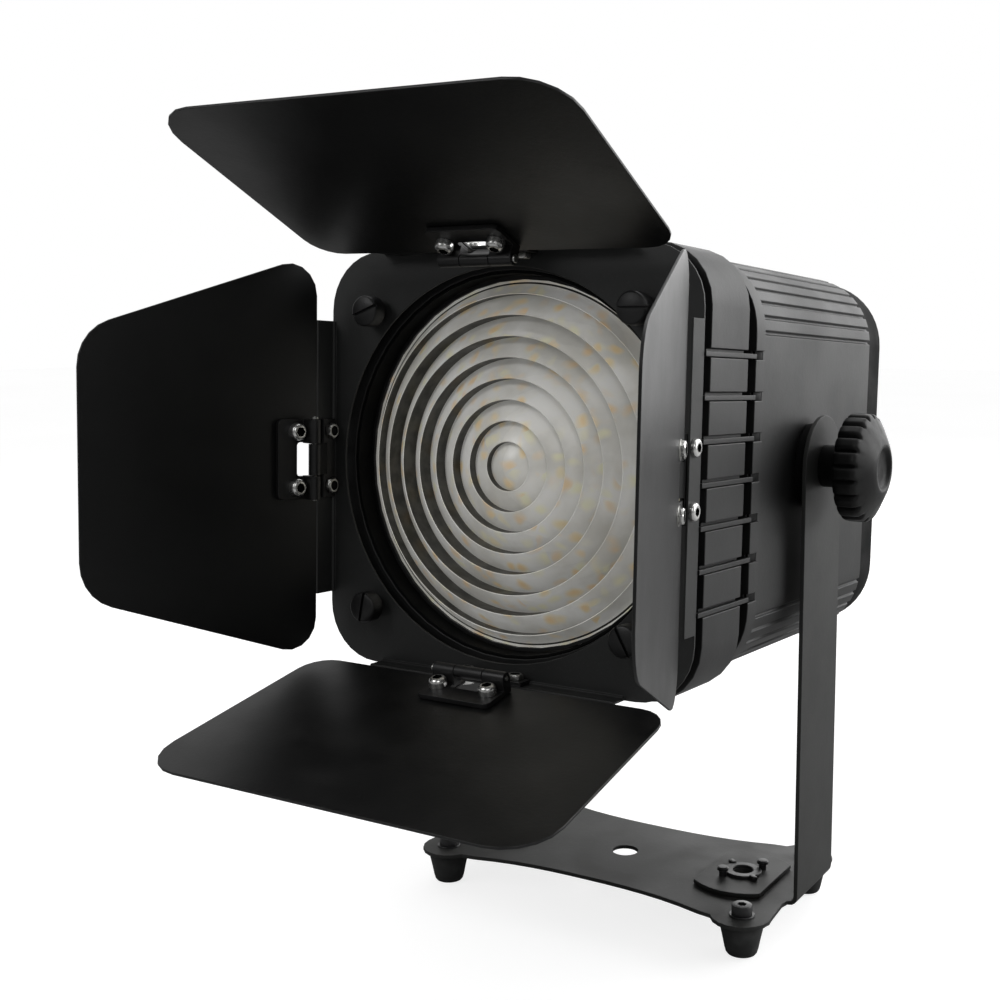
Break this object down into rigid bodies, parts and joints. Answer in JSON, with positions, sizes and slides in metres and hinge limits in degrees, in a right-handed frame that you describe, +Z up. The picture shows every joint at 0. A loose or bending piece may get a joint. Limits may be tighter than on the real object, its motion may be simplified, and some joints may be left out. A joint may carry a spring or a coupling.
{
  "type": "fresnel spotlight",
  "caption": "Studio spotlight: boxy head with a round fresnel lens and folding barn doors, tilting in a floor-standing U-shaped yoke.",
  "frame": {"origin": "bottom centre of the whole object's box, on the floor under the feet", "axes": "+Z up, +X along the tilt axis, the lens faces -Y"},
  "size_m": [0.329, 0.4566, 0.4753],
  "materials": {
    "housing_paint": "matte",
    "cast_black": "satin",
    "sheet_paint": "matte",
    "yoke_paint": "matte",
    "lens_glass": "gloss",
    "display_glass": "gloss",
    "rubber_black": "matte",
    "plastic_black": "satin",
    "bright_steel": "satin",
    "plated_steel": "satin",
    "bare_aluminium": "satin",
    "led_phosphor": "satin",
    "board": "satin",
    "potting": "matte"
  },
  "bodies": {
    "yoke": {"yoke": "yoke_paint", "foot_1": "rubber_black", "foot_2": "rubber_black", "foot_3": "rubber_black", "foot_4": "rubber_black", "quick_lock_plate_left": "plated_steel", "quick_lock_plate_right": "plated_steel"},
    "head": {"housing_shell": "housing_paint", "mid_ring": "housing_paint", "front_bezel": "housing_paint", "rear_ring": "cast_black", "rear_panel": "sheet_paint", "lens_tube": "housing_paint", "fresnel_lens": "lens_glass", "lens_retainer": "cast_black", "door_frame": "sheet_paint", "post_screw_1": "cast_black", "post_screw_2": "cast_black", "post_screw_3": "cast_black", "post_screw_4": "cast_black", "frame_leaf_top": "cast_black", "frame_leaf_right": "cast_black", "frame_leaf_bottom": "cast_black", "frame_leaf_left": "cast_black", "hinge_pin_top": "bright_steel", "hinge_pin_right": "bright_steel", "hinge_pin_bottom": "bright_steel", "hinge_pin_left": "bright_steel", "guide_rod_left": "bright_steel", "guide_rod_right": "bright_steel", "power_supply": "potting", "control_board": "board", "display_window": "display_glass", "mains_inlet": "plastic_black", "dmx_input": "cast_black", "dmx_output": "cast_black", "safety_eye": "bright_steel", "friction_pad_left": "rubber_black", "friction_pad_right": "rubber_black"},
    "door_top": {"barn_door_top": "sheet_paint", "door_leaf_top": "cast_black"},
    "door_right": {"barn_door_right": "sheet_paint", "door_leaf_right": "cast_black"},
    "door_bottom": {"barn_door_bottom": "sheet_paint", "door_leaf_bottom": "cast_black"},
    "door_left": {"barn_door_left": "sheet_paint", "door_leaf_left": "cast_black"},
    "carriage": {"heat_sink": "bare_aluminium", "led_board": "board", "led_array": "led_phosphor", "fan_frame": "plastic_black"},
    "fan": {"fan_rotor": "plastic_black"},
    "focus": {"focus_knob": "plastic_black", "focus_screw": "bright_steel"},
    "knob_left": {"tilt_knob_left": "plastic_black"},
    "knob_right": {"tilt_knob_right": "plastic_black"},
    "button_1": {"menu_button_1": "plastic_black"},
    "button_2": {"menu_button_2": "plastic_black"},
    "button_3": {"menu_button_3": "plastic_black"},
    "button_4": {"menu_button_4": "plastic_black"}
  },
  "joints": [
    {"name": "head_tilt", "type": "hinge", "parent": "yoke", "child": "head", "pos_m": [0, 0.08977, 0.2862], "axis": [1, 0, 0], "range_deg": [-90, 30]},
    {"name": "door_top_hinge", "type": "hinge", "parent": "head", "child": "door_top", "pos_m": [0, -0.08814, 0.40503], "axis": [1, 0, 0], "range_deg": [-67, 101]},
    {"name": "door_bottom_hinge", "type": "hinge", "parent": "head", "child": "door_bottom", "pos_m": [0, -0.09889, 0.18529], "axis": [-1, 0, 0], "range_deg": [-76, 101]},
    {"name": "door_left_hinge", "type": "hinge", "parent": "head", "child": "door_left", "pos_m": [-0.11, -0.09351, 0.29516], "axis": [0, -0.0489, -0.9988], "range_deg": [-103, 75]},
    {"name": "door_right_hinge", "type": "hinge", "parent": "head", "child": "door_right", "pos_m": [0.11, -0.09351, 0.29516], "axis": [0, 0.0489, 0.9988], "range_deg": [-97, 71]},
    {"name": "carriage_slide", "type": "slide", "parent": "head", "child": "carriage", "axis": [0, 0.9988, -0.0489], "range_m": [-0.03, 0.03]},
    {"name": "focus_turn", "type": "hinge", "parent": "head", "child": "focus", "pos_m": [0, 0.19451, 0.217], "axis": [0, 0.9988, -0.0489], "range_deg": [-901, 901]},
    {"name": "fan_spin", "type": "hinge", "parent": "carriage", "child": "fan", "pos_m": [0, 0.10774, 0.28532], "axis": [0, 0.9988, -0.0489], "continuous": true},
    {"name": "knob_left_turn", "type": "hinge", "parent": "head", "child": "knob_left", "pos_m": [-0.145, 0.08977, 0.2862], "axis": [-1, 0, 0], "range_deg": [0, 360]},
    {"name": "knob_right_turn", "type": "hinge", "parent": "head", "child": "knob_right", "pos_m": [0.145, 0.08977, 0.2862], "axis": [1, 0, 0], "range_deg": [0, 360]},
    {"name": "button_1_press", "type": "slide", "parent": "head", "child": "button_1", "axis": [0, -0.9988, 0.0489], "range_m": [0, 0.0015], "stiffness_N_per_m": 300, "springref_m": -0.0005},
    {"name": "button_2_press", "type": "slide", "parent": "head", "child": "button_2", "axis": [0, -0.9988, 0.0489], "range_m": [0, 0.0015], "stiffness_N_per_m": 300, "springref_m": -0.0005},
    {"name": "button_3_press", "type": "slide", "parent": "head", "child": "button_3", "axis": [0, -0.9988, 0.0489], "range_m": [0, 0.0015], "stiffness_N_per_m": 300, "springref_m": -0.0005},
    {"name": "button_4_press", "type": "slide", "parent": "head", "child": "button_4", "axis": [0, -0.9988, 0.0489], "range_m": [0, 0.0015], "stiffness_N_per_m": 300, "springref_m": -0.0005}
  ],
  "couplings": [
    {"joint": "focus_turn", "follows": "carriage_slide", "rad_per_m": 523.6}
  ]
}
